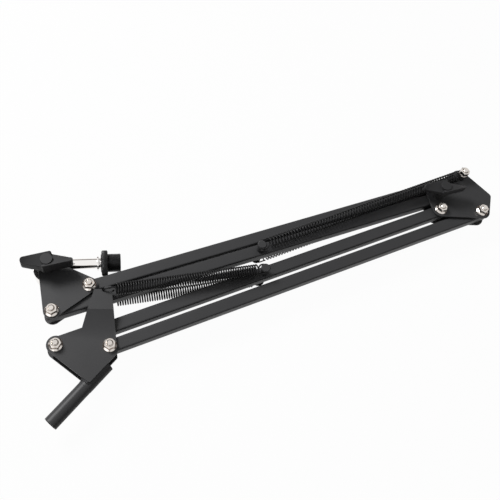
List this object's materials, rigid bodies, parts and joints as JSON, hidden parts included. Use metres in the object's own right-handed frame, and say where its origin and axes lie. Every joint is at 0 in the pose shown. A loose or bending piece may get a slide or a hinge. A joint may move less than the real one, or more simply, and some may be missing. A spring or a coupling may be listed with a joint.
{
  "type": "spring-balanced microphone boom arm",
  "caption": "Folding desk boom arm with two parallel-link arms, tension springs, clamp knobs and a threaded microphone mount.",
  "frame": {"origin": "centre of the post's free end, in the middle plane of the arm tubes", "axes": "+X along the folded lower arm from base to elbow, +Z out of the front side plates, where the knobs are, +Y across the arms from the base to the head"},
  "size_m": [0.4573, 0.1367, 0.0447],
  "materials": {
    "powder_coat": "satin",
    "zinc_steel": "bright zinc plate",
    "chrome": "polished",
    "spring_wire": "satin black",
    "black_plastic": "matte",
    "brass": "turned"
  },
  "bodies": {
    "base": {"base_plate_front": "powder_coat", "base_plate_back": "powder_coat", "post_tube": "powder_coat", "base_pivot_bolts": "zinc_steel", "base_pivot_nuts": "zinc_steel", "base_washers": "zinc_steel"},
    "lower_main": {"lower_main_tube": "powder_coat", "lower_spring_stud": "powder_coat", "lower_spring_front": "spring_wire", "lower_spring_back": "spring_wire"},
    "lower_follower": {"lower_follower_tube": "powder_coat"},
    "elbow": {"elbow_plate_front": "powder_coat", "elbow_plate_back": "powder_coat", "elbow_pivot_bolts": "zinc_steel", "elbow_pivot_nuts": "zinc_steel", "elbow_washers": "zinc_steel", "elbow_clamp_bolt": "zinc_steel", "spring_anchor_bolt": "zinc_steel", "spring_anchor_nut": "zinc_steel", "spring_anchor_sleeves": "black_plastic"},
    "elbow_clamp": {"elbow_knob": "black_plastic", "elbow_knob_insert": "brass"},
    "upper_main": {"upper_main_tube": "powder_coat", "upper_spring_stud": "powder_coat", "upper_spring_front": "spring_wire", "upper_spring_back": "spring_wire"},
    "upper_follower": {"upper_follower_tube": "powder_coat"},
    "head": {"head_plate_front": "powder_coat", "head_plate_back": "powder_coat", "head_pivot_bolts": "zinc_steel", "head_pivot_nuts": "zinc_steel", "head_washers": "zinc_steel", "head_clamp_bolt": "zinc_steel"},
    "head_clamp": {"head_knob": "black_plastic", "head_knob_insert": "brass"},
    "mic_mount": {"mic_rod": "chrome", "thread_adapter": "black_plastic"},
    "ring": {"locking_ring": "black_plastic"}
  },
  "joints": [
    {"name": "lower_arm_swing", "type": "hinge", "parent": "base", "child": "lower_main", "pos_m": [0.02111, 0.05473, 0], "axis": [0, 0, 1], "range_deg": [0, 115], "deforming": ["lower_spring_front", "lower_spring_back"]},
    {"name": "lower_follower_swing", "type": "hinge", "parent": "base", "child": "lower_follower", "pos_m": [0.06, 0.03941, 0], "axis": [0, 0, 1], "range_deg": [0, 115]},
    {"name": "elbow_level", "type": "hinge", "parent": "lower_main", "child": "elbow", "pos_m": [0.39611, 0.05473, 0], "axis": [0, 0, 1], "range_deg": [-115, 0]},
    {"name": "upper_arm_swing", "type": "hinge", "parent": "elbow", "child": "upper_main", "pos_m": [0.40211, 0.06853, 0], "axis": [0, 0, 1], "range_deg": [-130, 0], "deforming": ["upper_spring_front", "upper_spring_back"]},
    {"name": "upper_follower_swing", "type": "hinge", "parent": "elbow", "child": "upper_follower", "pos_m": [0.43685, 0.07942, 0], "axis": [0, 0, 1], "range_deg": [-130, 0]},
    {"name": "head_level", "type": "hinge", "parent": "upper_main", "child": "head", "pos_m": [0.02639, 0.08297, 0], "axis": [0, 0, 1], "range_deg": [0, 130]},
    {"name": "mic_tilt", "type": "hinge", "parent": "head", "child": "mic_mount", "pos_m": [0.03439, 0.11957, 0], "axis": [0, 0, 1], "range_deg": [0, 200]},
    {"name": "elbow_knob_turn", "type": "hinge", "parent": "elbow", "child": "elbow_clamp", "pos_m": [0.40211, 0.06853, 0], "axis": [0, 0, 1], "continuous": true},
    {"name": "head_knob_turn", "type": "hinge", "parent": "head", "child": "head_clamp", "pos_m": [0.03439, 0.11957, 0], "axis": [0, 0, 1], "continuous": true},
    {"name": "locking_ring_turn", "type": "hinge", "parent": "mic_mount", "child": "ring", "pos_m": [0.08037, 0.11151, 0], "axis": [0.9527, -0.304, 0], "continuous": true}
  ],
  "couplings": [
    {"joint": "lower_follower_swing", "follows": "lower_arm_swing", "ratio": 1},
    {"joint": "elbow_level", "follows": "lower_arm_swing", "ratio": -1},
    {"joint": "upper_follower_swing", "follows": "upper_arm_swing", "ratio": 1},
    {"joint": "head_level", "follows": "upper_arm_swing", "ratio": -1}
  ]
}
